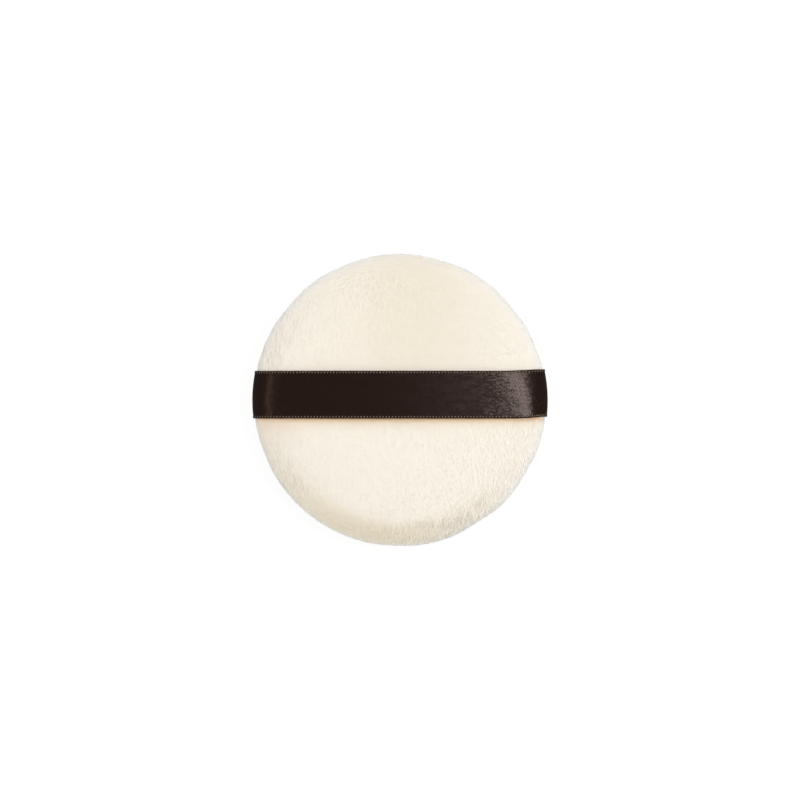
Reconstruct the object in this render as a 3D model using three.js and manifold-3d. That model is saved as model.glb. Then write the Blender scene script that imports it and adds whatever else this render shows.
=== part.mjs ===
// Round velour powder puff with a satin ribbon across its back.
// Millimetres, +Z up. The puff lies on its powder face with the ribbon on top.
// The origin is on the rest plane, under the middle of the puff. The ribbon runs along X.
import * as THREE from "three";
import { mergeVertices } from "three/addons/utils/BufferGeometryUtils.js";
import Module from "manifold-3d";

const wasm = await Module();
wasm.setup();

// Driving dimensions of the puff
const puffDiameter = 79; // across the tips of the pile
const pileProud = 0.3; // loose pile tips outside the solid of a cover
const backRise = 7.6; // seam plane to the middle of the strap side
const frontRise = 7.6; // seam plane to the middle of the powder side, before it rests
const restDepth = 0.5; // how far the powder side is pressed flat by its own weight
const dome = 1; // gentle crown that is left over once the shoulder is reached
const velourWall = 1.8; // velour with its pile
const foldRadius = 1; // rounding of a cover where it turns in at the seam

// How the outline falls from the crown to the rim, as powers of a rounded curve
const shoulderPower = 8;
const rimPower = 2.1;

// Side seam
const seamGap = 0.3; // between the two turned-in seam allowances
const seamAllowance = 6.5; // reach of a seam allowance in from the rim
const allowanceThickness = 1.1; // velour pressed flat in the seam
const stitchInset = 3; // stitching line in from the rim
const stitchLength = 4.2; // a long stitch, as thick pile cloth is sewn
const threadDiameter = 0.25;
const threadClearance = 0.2; // between a thread and the cloth that it passes or lies on
const linkSpread = 0.3; // half the distance between the legs of a linked stitch
const linkDepth = 0.35; // how far a stitch's link passes the seam plane
const legKnee = 0.15; // height over the seam plane where a leg turns in to its link

// Turning gap, closed by hand
const gapMiddleDegrees = 40; // clear of both ribbon ends
const gapLength = 36;

// Ribbon
const ribbonWidth = 12.7;
const ribbonOffset = 1.4; // how far it is sewn off the middle of the puff
const ribbonThickness = 0.38;
const ribbonLift = 0.6; // extra height over the middle of the puff
const ribbonBend = 0.9; // centreline radius where it turns into the seam
const ribbonTuck = 6.3; // reach of an end in from the rim
const ribbonSweep = 0.45; // how far the right-hand end runs off to one side
const sweepStartShare = 0.72; // where that starts, as a share of the rim radius
const tackInset = 5; // second row of stitches, in from the rim
const tackStitch = 2.1;
const tackStitches = 4;

// Clearance between pieces that touch on the real object
const seat = 0.3;

// How finely the shapes are divided
const outerSteps = 8;
const innerSteps = 5;
const foldSteps = 3;
const bendSteps = 4;
const climbSteps = 9;
const acrossSteps = 4;
const threadSides = 4;
const holeSides = 4;

// Worked out from the sizes above
const coverRadius = puffDiameter / 2 - pileProud;
const seamZ = frontRise - restDepth;
const allowanceTop = seamGap / 2 + allowanceThickness;
const foldTop = seamGap / 2 + foldRadius;
const stitchRadius = coverRadius - stitchInset;
const threadLay = allowanceTop + threadClearance + threadDiameter / 2;
const threadTop = threadLay + threadDiameter / 2;
const holeHalf = linkSpread + threadDiameter / 2 + threadClearance;
const handHoleHalf = threadDiameter / 2 + threadClearance;
const overrun = 1; // cutters run this far past what they cut

// Places round the seam where a needle went through, and one facet of the round for each.
// They start half a stitch off the ribbon's line, so that no needle meets a ribbon edge.
const seamPlaces = Math.round((2 * Math.PI * stitchRadius) / stitchLength);
const stitchTurn = (2 * Math.PI) / seamPlaces;

// Half outline of a crowned side: [radius, height over the seam plane], from the middle to the rim
function crownOutline(radius, base, rise, steps) {
  const shares = [0];
  for (let i = 1; i <= steps; i++) {
    shares.push(Math.sin(((i / steps) * Math.PI) / 2) ** (2 / shoulderPower));
  }
  shares.splice(1, 0, shares[1] / 2);
  return shares.map((share) => {
    const shoulder = (1 - share ** shoulderPower) ** (1 / rimPower);
    return [radius * share, base + (rise - base - dome) * shoulder + dome * (1 - share ** 2)];
  });
}

// Turned body from an outline of [radius, height over the seam plane], side 1 up or -1 down
function turned(outline, side) {
  const points = outline.map(([radius, height]) => new THREE.Vector2(radius, side * height));
  if (side > 0) points.reverse();
  const geometry = new THREE.LatheGeometry(points, seamPlaces, Math.PI / 2, 2 * Math.PI);
  geometry.rotateX(Math.PI / 2);
  geometry.translate(0, 0, seamZ);
  return bodyOf(geometry);
}

// Solid body from a closed geometry, with shared corners merged and flat triangles dropped
function bodyOf(geometry) {
  const bare = geometry.clone();
  bare.deleteAttribute("normal");
  bare.deleteAttribute("uv");
  const merged = mergeVertices(bare);
  const corners = merged.index.array;
  const triVerts = [];
  for (let i = 0; i < corners.length; i += 3) {
    const [a, b, c] = corners.slice(i, i + 3);
    if (a !== b && b !== c && c !== a) triVerts.push(a, b, c);
  }
  const vertProperties = Float32Array.from(merged.attributes.position.array);
  const mesh = new wasm.Mesh({ numProp: 3, vertProperties, triVerts: Uint32Array.from(triVerts) });
  return new wasm.Manifold(mesh);
}

function geometryOf(body) {
  const { vertProperties, triVerts } = body.getMesh();
  const geometry = new THREE.BufferGeometry();
  geometry.setAttribute("position", new THREE.BufferAttribute(vertProperties, 3));
  geometry.setIndex(new THREE.BufferAttribute(triVerts, 1));
  geometry.computeVertexNormals();
  return geometry;
}

// Point at an angle round the seam, off the stitching line by across and over the seam plane by up
function seamPoint(angle, across, up) {
  const radius = stitchRadius + across;
  return new THREE.Vector3(radius * Math.cos(angle), radius * Math.sin(angle), seamZ + up);
}

// Square needle hole through both seam allowances
function needleHole(place, turn, half) {
  const depth = 2 * (threadTop + threadClearance);
  const corner = half * Math.SQRT2;
  const geometry = new THREE.CylinderGeometry(corner, corner, depth, holeSides);
  geometry.rotateY(Math.PI / holeSides);
  geometry.rotateX(Math.PI / 2);
  geometry.rotateZ(turn);
  geometry.translate(place.x, place.y, seamZ);
  return bodyOf(geometry);
}

// A curve through points that is divided at the points themselves
class ThreadPath extends THREE.CatmullRomCurve3 {
  getUtoTmapping(u) {
    return u;
  }
}

function threadGeometry(points) {
  const path = new ThreadPath(points, false, "centripetal");
  const section = new THREE.Shape();
  for (let i = 0; i < threadSides; i++) {
    const turn = (i / threadSides) * 2 * Math.PI;
    const x = (threadDiameter / 2) * Math.cos(turn);
    const y = (threadDiameter / 2) * Math.sin(turn);
    if (i === 0) section.moveTo(x, y);
    else section.lineTo(x, y);
  }
  section.closePath();
  const steps = points.length - 1;
  return geometryOf(bodyOf(new THREE.ExtrudeGeometry(section, { steps, extrudePath: path })));
}

// Angles of the hand stitches across the turning gap, and of the machine stitches round the rest
const gapMiddle = THREE.MathUtils.degToRad(gapMiddleDegrees);
const gapHalf = gapLength / 2 / stitchRadius;
const gapFirst = Math.ceil((gapMiddle - gapHalf) / stitchTurn - 1 / 2);
const gapLast = Math.floor((gapMiddle + gapHalf) / stitchTurn - 1 / 2);
function anglesBetween(first, last) {
  const angles = [];
  for (let i = first; i <= last; i++) angles.push((i + 1 / 2) * stitchTurn);
  return angles;
}
const handAngles = anglesBetween(gapFirst, gapLast);
const stitchAngles = anglesBetween(gapLast + 1, gapFirst - 1 + seamPlaces);

// One thread of the lockstitch: side 1 lies on the back allowance, -1 on the front one
function lockstitchPoints(side) {
  const lay = side * threadLay;
  const knee = side * legKnee;
  const link = -side * linkDepth;
  const spread = linkSpread / stitchRadius;
  const points = [];
  for (const angle of stitchAngles) {
    points.push(seamPoint(angle - stitchTurn / 2, 0, lay));
    points.push(seamPoint(angle - spread, side * linkSpread, lay));
    points.push(seamPoint(angle - spread, side * linkSpread, knee));
    points.push(seamPoint(angle, 0, link));
    points.push(seamPoint(angle + spread, -side * linkSpread, knee));
    points.push(seamPoint(angle + spread, -side * linkSpread, lay));
  }
  points.push(seamPoint(stitchAngles[stitchAngles.length - 1] + stitchTurn / 2, 0, lay));
  return points;
}

// One thread that goes in and out of a row of holes, each given by its place and the way the row runs
function runningPoints(places, ways) {
  const ease = threadDiameter;
  const points = [];
  places.forEach((place, i) => {
    const side = i % 2 ? -1 : 1;
    const at = (along, up) => {
      const point = place.clone().addScaledVector(ways[i], along);
      point.z = seamZ + up;
      return point;
    };
    points.push(at(-ease, side * threadLay));
    points.push(at(0, side * (threadLay - ease)));
    points.push(at(0, -side * (threadLay - ease)));
    points.push(at(ease, -side * threadLay));
  });
  return points;
}

// Hand stitches across the turning gap
const handPlaces = handAngles.map((angle) => seamPoint(angle, 0, 0));
const handWays = handAngles.map((angle) => new THREE.Vector3(-Math.sin(angle), Math.cos(angle), 0));

// Second row of stitches through a ribbon end, side 1 right or -1 left
const tackX = coverRadius - tackInset;
function endMiddle(side) {
  return side > 0 ? ribbonOffset + ribbonSweep : ribbonOffset;
}
function tackPlaces(side) {
  const places = [];
  for (let i = 0; i <= tackStitches; i++) {
    const along = (i - tackStitches / 2) * tackStitch;
    places.push(new THREE.Vector3(side * tackX, along + endMiddle(side), seamZ));
  }
  return places;
}
const alongY = new THREE.Vector3(0, 1, 0);

// Everything that the needles pierced, as one cutter for both covers and the ribbon ends
let needleHoles = null;
function pierce(place, turn, half) {
  const hole = needleHole(place, turn, half);
  needleHoles = needleHoles ? needleHoles.add(hole) : hole;
}
stitchAngles.forEach((angle) => pierce(seamPoint(angle, 0, 0), angle, holeHalf));
handAngles.forEach((angle, i) => pierce(handPlaces[i], angle, handHoleHalf));
[1, -1].forEach((side) => tackPlaces(side).forEach((place) => pierce(place, 0, handHoleHalf)));

// Room that a ribbon end presses into the two seam allowances
function ribbonPocket(side) {
  const inner = coverRadius - seamAllowance - overrun;
  const outer = coverRadius + overrun;
  const width = ribbonWidth + 2 * seat;
  const geometry = new THREE.BoxGeometry(outer - inner, width, ribbonThickness + 2 * seat);
  geometry.translate((side * (inner + outer)) / 2, endMiddle(side), seamZ);
  return bodyOf(geometry);
}

// A velour cover: crowned shell whose edge turns in at the seam, side 1 back or -1 front
function coverBody(rise, side) {
  const outline = crownOutline(coverRadius, foldTop, rise, outerSteps);
  for (let i = 1; i <= foldSteps; i++) {
    const turn = (i / foldSteps) * (Math.PI / 2);
    const radius = coverRadius - foldRadius * (1 - Math.cos(turn));
    outline.push([radius, foldTop - foldRadius * Math.sin(turn)]);
  }
  const innerRadius = coverRadius - velourWall;
  outline.push([coverRadius - seamAllowance, seamGap / 2]);
  outline.push([coverRadius - seamAllowance, allowanceTop]);
  outline.push(...crownOutline(innerRadius, allowanceTop, rise - velourWall, innerSteps).reverse());
  const pierced = turned(outline, side).subtract(needleHoles);
  return pierced.subtract(ribbonPocket(1)).subtract(ribbonPocket(-1));
}

function backCoverGeometry() {
  return geometryOf(coverBody(backRise, 1));
}

// The powder side, flat where the puff lies on it
function frontCoverGeometry() {
  const across = puffDiameter + 2 * overrun;
  const table = new THREE.BoxGeometry(across, across, restDepth + overrun);
  table.translate(0, 0, -(restDepth + overrun) / 2);
  return geometryOf(coverBody(frontRise, -1).subtract(bodyOf(table)));
}

// Foam disc with the groove that the seam allowances press into its edge
function foamGeometry() {
  const radius = coverRadius - velourWall - seat;
  const top = crownOutline(radius, allowanceTop, backRise - velourWall - seat, innerSteps);
  const bottom = crownOutline(radius, allowanceTop, frontRise - velourWall - seat, innerSteps);
  const down = bottom.reverse().map(([x, height]) => [x, -height]);
  const disc = turned([...top, ...down], 1);
  const grooveHalf = threadTop + seat;
  const grooveRadius = coverRadius - seamAllowance - seat;
  const groove = [
    [grooveRadius, grooveHalf],
    [coverRadius, grooveHalf],
    [coverRadius, -grooveHalf],
    [grooveRadius, -grooveHalf],
    [grooveRadius, grooveHalf],
  ];
  return geometryOf(disc.subtract(turned(groove, 1)));
}

// Right half of the ribbon's centreline, from its end to the middle of the puff, as
// [x, height over the seam plane, how far it has run off to one side]
const ribbonRadius = coverRadius + seat + ribbonThickness / 2;
function ribbonHalf() {
  const bendX = ribbonRadius - ribbonBend;
  const endX = coverRadius - ribbonTuck;
  const points = [
    [endX, 0, ribbonSweep],
    [(endX + bendX) / 2, 0, ribbonSweep],
  ];
  for (let i = 0; i <= bendSteps; i++) {
    const turn = (i / bendSteps) * (Math.PI / 2);
    const x = bendX + ribbonBend * Math.sin(turn);
    points.push([x, ribbonBend * (1 - Math.cos(turn)), ribbonSweep]);
  }
  const rise = backRise + seat + ribbonThickness / 2;
  const climb = crownOutline(ribbonRadius, foldTop, rise, climbSteps);
  const sweepStart = sweepStartShare * ribbonRadius;
  for (const [x, height] of climb.reverse()) {
    const lift = (ribbonLift * (1 + Math.cos((Math.PI * x) / ribbonRadius))) / 2;
    const sweep = ribbonSweep * THREE.MathUtils.smoothstep(x, sweepStart, ribbonRadius);
    points.push([x, height + lift, sweep]);
  }
  return points;
}

// The ribbon: one closed sheet, level across its width, whose ends follow the round rim
function ribbonGeometry() {
  const half = ribbonHalf();
  const mirrored = half.slice(0, -1).map(([x, height]) => [-x, height, 0]);
  const line = [...half, ...mirrored.reverse()];
  const positions = [];
  line.forEach(([x, height, sweep], i) => {
    const before = line[Math.max(i - 1, 0)];
    const after = line[Math.min(i + 1, line.length - 1)];
    const way = new THREE.Vector2(after[0] - before[0], after[1] - before[1]).normalize();
    for (const face of [1, -1]) {
      const out = (face * ribbonThickness) / 2;
      for (let j = 0; j <= acrossSteps; j++) {
        const y = (j / acrossSteps - 1 / 2) * ribbonWidth + ribbonOffset + sweep;
        const narrowing = Math.sqrt(ribbonRadius ** 2 - y ** 2) / ribbonRadius;
        positions.push((x + way.y * out) * narrowing, y, seamZ + height - way.x * out);
      }
    }
  });
  const row = 2 * (acrossSteps + 1);
  const index = [];
  const quad = (a, b, c, d) => index.push(a, b, c, a, c, d);
  for (let i = 0; i + 1 < line.length; i++) {
    const here = i * row;
    const next = here + row;
    const under = acrossSteps + 1;
    for (let j = 0; j < acrossSteps; j++) {
      quad(here + j, here + j + 1, next + j + 1, next + j);
      quad(here + under + j, next + under + j, next + under + j + 1, here + under + j + 1);
    }
    quad(here, next, next + under, here + under);
    const edge = acrossSteps;
    quad(here + edge, here + under + edge, next + under + edge, next + edge);
  }
  const last = (line.length - 1) * row;
  for (let j = 0; j < acrossSteps; j++) {
    const under = acrossSteps + 1;
    quad(j, under + j, under + j + 1, j + 1);
    quad(last + j, last + j + 1, last + under + j + 1, last + under + j);
  }
  const geometry = new THREE.BufferGeometry();
  geometry.setAttribute("position", new THREE.Float32BufferAttribute(positions, 3));
  geometry.setIndex(index);
  return geometryOf(bodyOf(geometry).subtract(needleHoles));
}

// Cloth, foam, satin and thread
const velour = new THREE.MeshStandardMaterial({ color: "#f2ebdc", roughness: 1, metalness: 0 });
const satin = new THREE.MeshStandardMaterial({ color: "#2d2521", roughness: 0.35, metalness: 0 });
const foam = new THREE.MeshStandardMaterial({ color: "#f3ead2", roughness: 0.95, metalness: 0 });
const thread = new THREE.MeshStandardMaterial({ color: "#ece3cf", roughness: 0.7, metalness: 0 });
const darkThread = new THREE.MeshStandardMaterial({ color: "#3a2f29", roughness: 0.7, metalness: 0 });

const puff = new THREE.Group();
function addPiece(name, geometry, material) {
  const mesh = new THREE.Mesh(geometry, material);
  mesh.name = name;
  puff.add(mesh);
}

addPiece("front_cover", frontCoverGeometry(), velour);
addPiece("back_cover", backCoverGeometry(), velour);
addPiece("foam_core", foamGeometry(), foam);
addPiece("ribbon_strap", ribbonGeometry(), satin);
addPiece("seam_needle_thread", threadGeometry(lockstitchPoints(1)), thread);
addPiece("seam_bobbin_thread", threadGeometry(lockstitchPoints(-1)), thread);
addPiece("closing_stitches", threadGeometry(runningPoints(handPlaces, handWays)), thread);
for (const [name, side] of [["right_ribbon_tack", 1], ["left_ribbon_tack", -1]]) {
  const places = tackPlaces(side);
  const ways = places.map(() => alongY);
  addPiece(name, threadGeometry(runningPoints(places, ways)), darkThread);
}

export default puff;
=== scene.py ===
# Round powder puff: two crowned velour covers over a foam disc, sewn round the rim,
# with a satin ribbon across the back to slip the fingers under.
# Metres, +Z up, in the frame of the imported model. The ribbon runs along X.
import math
import bpy
import numpy as np
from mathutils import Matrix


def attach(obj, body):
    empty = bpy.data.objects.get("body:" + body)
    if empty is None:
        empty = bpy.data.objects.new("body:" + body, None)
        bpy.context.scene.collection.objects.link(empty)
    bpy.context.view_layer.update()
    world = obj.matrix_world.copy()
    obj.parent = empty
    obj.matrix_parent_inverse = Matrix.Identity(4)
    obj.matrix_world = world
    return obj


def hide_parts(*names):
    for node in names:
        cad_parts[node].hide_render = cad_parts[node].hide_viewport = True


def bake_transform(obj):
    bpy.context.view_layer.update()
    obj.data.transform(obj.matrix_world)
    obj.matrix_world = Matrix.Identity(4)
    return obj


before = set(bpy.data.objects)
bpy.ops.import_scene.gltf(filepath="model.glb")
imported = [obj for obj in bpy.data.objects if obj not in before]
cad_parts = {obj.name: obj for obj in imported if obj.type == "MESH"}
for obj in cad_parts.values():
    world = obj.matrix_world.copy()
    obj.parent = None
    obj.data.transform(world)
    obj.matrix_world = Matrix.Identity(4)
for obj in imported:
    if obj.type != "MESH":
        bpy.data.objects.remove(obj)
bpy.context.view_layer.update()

mm = 0.001


# Foam core
# A disc cut from open-cell polyurethane foam. It fills the two covers, and the seam
# allowances press a groove into its edge, which keeps it in place without glue.
seam_z = 7.1 * mm
cover_radius = 39.2 * mm
rise = 7.6 * mm  # seam plane to the middle of either side
dome = 1 * mm  # gentle crown that is left once the shoulder is reached
shoulder_power = 8
rim_power = 2.1
velour_wall = 1.8 * mm
seat = 0.3 * mm
seam_gap = 0.3 * mm
seam_allowance = 6.5 * mm
allowance_thickness = 1.1 * mm
allowance_top = seam_gap / 2 + allowance_thickness
groove_half = 2 * mm
outline_points = 600  # of a crowned line, close together at the rim, before it is evened out
foam_step = 0.8 * mm
foam_turns = 180
foam_cell = 0.45 * mm
foam_cell_depth = 0.15 * mm
mouth_start, mouth_end = 0.15, 0.6  # how far from its middle a cell turns from pit to wall
foam_cream = "#f1e6c8"
# Painted shade: the cell mouths are darkened in colour, as if shaded inside
foam_pit_shade = "#cdbb8f"


def crowned(radius, base, top):
    """Half outline of a crowned side, middle to rim: [radius, height over the seam plane]."""
    share = 1 - (1 - np.linspace(0, 1, outline_points)) ** 3
    shoulder = (1 - share**shoulder_power) ** (1 / rim_power)
    height = base + (top - base - dome) * shoulder + dome * (1 - share**2)
    return np.column_stack([radius * share, height])


def evenly(points, step):
    """The same line with its points an even step apart."""
    points = np.asarray(points, float)
    length = np.r_[0, np.cumsum(np.linalg.norm(np.diff(points, axis=0), axis=1))]
    places = np.linspace(0, length[-1], max(2, round(length[-1] / step) + 1))
    return np.column_stack([np.interp(places, length, column) for column in points.T])


def turned(outline, turns, warp=None):
    """Closed mesh turned round Z from an outline that starts and ends on the axis."""
    radius, height = np.asarray(outline)[1:-1].T
    angle = np.arange(turns) * 2 * math.pi / turns
    x = np.outer(radius, np.cos(angle)).ravel()
    y = np.outer(radius, np.sin(angle)).ravel()
    z = np.repeat(height, turns)
    points = np.column_stack([x, y, z])
    poles = [[0, 0, outline[0][1]], [0, 0, outline[-1][1]]]
    points = np.vstack([points, poles])
    if warp:
        points = warp(points)
    points[:, 2] += seam_z
    here = np.arange(turns)
    after = (here + 1) % turns
    faces = []
    for ring in range(len(radius) - 1):
        a, b = ring * turns, (ring + 1) * turns
        faces += np.column_stack([a + here, b + here, b + after, a + after]).tolist()
    first, last = len(points) - 2, len(points) - 1
    end = (len(radius) - 1) * turns
    faces += np.column_stack([here, after, here * 0 + first]).tolist()
    faces += np.column_stack([end + after, end + here, here * 0 + last]).tolist()
    mesh = bpy.data.meshes.new("turned")
    mesh.from_pydata(points.tolist(), [], faces)
    return mesh


def volume(mesh):
    """Signed volume, which is above nothing where the faces point outwards."""
    mesh.calc_loop_triangles()
    corners = np.empty(len(mesh.vertices) * 3)
    mesh.vertices.foreach_get("co", corners)
    index = np.empty(len(mesh.loop_triangles) * 3, int)
    mesh.loop_triangles.foreach_get("vertices", index)
    a, b, c = corners.reshape(-1, 3)[index.reshape(-1, 3)].transpose(1, 0, 2)
    return float((a * np.cross(b, c)).sum() / 6)


def add_piece(name, mesh, material, body):
    """A finished mesh as a piece of the object, smooth and with its faces outwards."""
    if volume(mesh) < 0:
        mesh.flip_normals()
    mesh.polygons.foreach_set("use_smooth", [True] * len(mesh.polygons))
    mesh.name = name
    mesh.materials.clear()
    mesh.materials.append(material)
    piece = bpy.data.objects.new(name, mesh)
    bpy.context.scene.collection.objects.link(piece)
    if body:
        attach(piece, body)
    return piece


def linear(hex_colour):
    """The linear colour of an sRGB hex value."""
    channels = [int(hex_colour[i : i + 2], 16) / 255 for i in (1, 3, 5)]
    return [*(c / 12.92 if c <= 0.04045 else ((c + 0.055) / 1.055) ** 2.4 for c in channels), 1]


def pick(sockets, name=None):
    """The first socket with that name or number, or of all. One in use comes before the rest."""
    fitting = [s for i, s in enumerate(sockets) if name in (None, i, s.name)]
    return ([s for s in fitting if s.enabled] or fitting)[0]


def feed(node, inputs):
    """Inputs of a node, fed by values or by other nodes' outputs: by name, or in their order."""
    fed = inputs.items() if isinstance(inputs, dict) else enumerate(inputs)
    for name, value in fed:
        socket = pick(node.inputs, name)
        if isinstance(value, bpy.types.NodeSocket):
            node.id_data.links.new(value, socket)
        else:
            socket.default_value = value


def add(tree, kind, inputs=(), output=None, **settings):
    """A new node with its settings and its inputs fed. Gives the output of that name, or else
    the first in use."""
    made = tree.nodes.new(kind)
    for name, value in settings.items():
        setattr(made, name, value)
    feed(made, inputs)
    return pick(made.outputs, output) if made.outputs else None


def shader(name):
    """A new material, its tree and its main shader."""
    material = bpy.data.materials.new(name)
    material.use_nodes = True
    tree = material.node_tree
    return material, tree, tree.nodes["Principled BSDF"]


def foam_material():
    """Open-cell polyurethane foam: matt, cream, with painted shade in its small cell mouths."""
    material, tree, main = shader("Open-cell polyurethane foam")
    place = add(tree, "ShaderNodeTexCoord", output="Object")
    cells = add(
        tree, "ShaderNodeTexVoronoi", {"Vector": place, "Scale": 1 / foam_cell}, "Distance"
    )
    depth = add(
        tree, "ShaderNodeMapRange", {"Value": cells, "From Min": mouth_start, "From Max": mouth_end}
    )
    tone = add(
        tree, "ShaderNodeMix", {"Factor": depth, "A": linear(foam_pit_shade), "B": linear(foam_cream)},
        data_type="RGBA",
    )
    bump = add(tree, "ShaderNodeBump", {"Height": depth, "Distance": foam_cell_depth})
    feed(main, {"Base Color": tone, "Normal": bump, "Roughness": 0.95})
    return material


foam_radius = cover_radius - velour_wall - seat
foam_side = crowned(foam_radius, allowance_top, rise - velour_wall - seat)
foam_side = foam_side[foam_side[:, 1] > groove_half]
groove_radius = cover_radius - seam_allowance - seat
foam_top = evenly(foam_side, foam_step)
foam_mouth = evenly([foam_side[-1], [groove_radius, groove_half]], foam_step)
foam_floor = evenly([[groove_radius, groove_half], [groove_radius, -groove_half]], foam_step)
upper = np.vstack([foam_top, foam_mouth[1:]])
lower = upper[::-1] * [1, -1]
foam = add_piece(
    "foam_disc",
    turned(np.vstack([upper, foam_floor[1:-1], lower]), foam_turns),
    foam_material(), "puff",
)
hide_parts("foam_core")


# Velour covers
# Two discs of cream cotton velour, pulled to a crown over the foam and sewn face to face
# round the rim. The edge turns in to a soft crease there, and the cloth lies flat inside.
pile_stand = 0.15 * mm  # how far the dense face of the pile stands out of the solid of a cover
table_clear = 0.02 * mm
press_softness = 0.25 * mm  # how gently the pressed face leaves the table
fold_radius = 1 * mm
fold_steps = 7
cover_step = 0.7 * mm
cover_turns = 324
deepest_pull = 0.45 * mm
pull_reach = math.radians(7)  # how far along the rim one tight stitch draws
pull_height = 2.2 * mm  # how far over and under the seam it draws
pull_power = 6  # how fast the draw dies away from the rim towards the middle
# Where the seam draws in, as (degrees round the rim, share of the deepest pull)
seam_pulls = [
    (22, 0.45), (39, 0.75), (75, 0.5), (111, 0.4), (139, 0.5), (201, 0.4),
    (268, 0.4), (302, 1), (330, 0.6),
]
stitch_places = 54
pucker = 0.07 * mm
ribbon_width = 12.7 * mm
ribbon_offset = 1.5 * mm  # how far the ribbon is sewn off the middle of the puff
# Painted shadow: a warm tan that stands in for the ribbon's shadow, wholly along its lower edge
painted_shadow_reach = 0.92 * mm  # how far from that edge
upper_shadow_share = 0.05  # along the upper edge, where little of the ribbon's shadow falls
left_shadow_share = 0.36  # further out, below the ribbon's left-hand end
left_shadow_reach = 3.5 * mm
left_shadow_starts = 20 * mm, 32 * mm
crease_shade_share = 0.35  # painted shade in the crease of the seam
crease_reach = 0.8 * mm
# Painted shade: duller over the upper middle, and down the lower rim where it slopes away from the
# lamps
upper_shade_share = 0.19
upper_shade_middle, upper_shade_reach = 4 * mm, 18 * mm
upper_shade_guard = 2 * mm  # how far from its edge the ribbon keeps the painted shade off
low_rim_shade_share = 0.42
low_rim_way, low_rim_reach = math.radians(256), math.radians(41)
low_rim_starts = 0.78, 0.92  # shares of the rim radius between which the band of painted shade begins,
low_rim_ends = 0.945, 1.02  # and between which it fades again
# Where it is turned in streaks at the shoulder, as (degrees round the rim, reach in degrees, share)
nap_streaks = [(294, 28, 1), (212, 14, 0.6), (158, 14, 0.6)]
streaks_start, streaks_end = 0.8, 0.9  # shares of the rim radius
turned_share = 0.4
streak_patch = 3.5 * mm
least_streaked = 0.3  # between the patches
noise_low, noise_high = 0.42, 0.58  # between which a noise goes from nothing to all
# Painted sheen: the rim paler and greyer, as a bloom seen aslant, less so round the side away from the
# lamps
sheen_start, sheen_end = 0.9, 0.99  # shares of the rim radius
dim_side_way, dim_side_reach = math.radians(240), math.radians(75)
velour_cream = "#f6f0e3"
velour_painted_shadow = "#dfb07a"
velour_painted_shade = "#ccba89"
velour_turned = "#b9b0a4"
velour_painted_sheen = "#f4f0e9"
nap_across = 0.45 * mm  # of one stroke, which is a tuft of many fibres
nap_along = 2.4 * mm
nap_depth = 0.5 * mm


def drawn_in(points):
    """The rim where tight stitches and the closed gap pull it in, and the puckers between stitches."""
    angle = np.arctan2(points[:, 1], points[:, 0])
    radius = np.hypot(points[:, 0], points[:, 1])
    pull = np.zeros(len(points))
    for degrees, share in seam_pulls:
        off = (angle - math.radians(degrees) + math.pi) % (2 * math.pi) - math.pi
        pull += share * deepest_pull * np.exp(-((off / pull_reach) ** 2))
    share = (radius / cover_radius).clip(0, 1)
    near_seam = np.exp(-((points[:, 2] / pull_height) ** 2))
    ruck = pucker * (1 + np.cos(stitch_places * angle)) / 2 * near_seam
    moved = (radius - (pull + ruck) * share**pull_power) / np.maximum(radius, 1e-9)
    points[:, :2] *= moved[:, None]
    return points


def cover_outline():
    """Closed outline of a cover from the outer middle round the rim to the inner middle, and
    how many of its points lie on the outer face."""
    radius = cover_radius + pile_stand
    fold_top = seam_gap / 2 + fold_radius
    turn = np.linspace(0, math.pi / 2, fold_steps + 1)[1:]
    fold = np.column_stack([
        radius - fold_radius * (1 - np.cos(turn)), fold_top - fold_radius * np.sin(turn),
    ])
    outer = np.vstack([crowned(radius, fold_top, rise + pile_stand), fold])
    inner_edge = cover_radius - seam_allowance
    flange = [outer[-1], [inner_edge, seam_gap / 2]]
    back_edge = [[inner_edge, seam_gap / 2], [inner_edge, allowance_top]]
    inner = crowned(cover_radius - velour_wall, allowance_top, rise - velour_wall)[::-1]
    stretches = [outer, flange, back_edge, [back_edge[-1], inner[0]], inner]
    lines = [evenly(s, cover_step)[i > 0 :] for i, s in enumerate(stretches)]
    return np.vstack(lines), len(lines[0])


def on_table(points):
    """The powder side drawn in at the seam, and pressed level where the puff lies on it."""
    points = drawn_in(points)
    level = table_clear - seam_z
    over = points[:, 2] - level
    points[:, 2] = level + (over + np.sqrt(over**2 + press_softness**2)) / 2
    return points


def place_and_normal(mesh):
    """Where each corner of a mesh lies and which way it faces."""
    place = np.empty(len(mesh.vertices) * 3)
    mesh.vertices.foreach_get("co", place)
    normal = np.empty(len(mesh.vertices) * 3)
    mesh.vertex_normals.foreach_get("vector", normal)
    return place.reshape(-1, 3), normal.reshape(-1, 3)


def keep(mesh, title, values):
    """An attribute with one number or one vector for each corner of a mesh."""
    values = np.asarray(values, np.float32)
    kind, field = ("FLOAT_VECTOR", "vector") if values.ndim == 2 else ("FLOAT", "value")
    mesh.attributes.new(title, kind, "POINT").data.foreach_set(field, values.ravel())


def eased(values, start, end):
    """From 0 at the start to 1 at the end, without a corner."""
    share = ((values - start) / (end - start)).clip(0, 1)
    return share * share * (3 - 2 * share)


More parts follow.
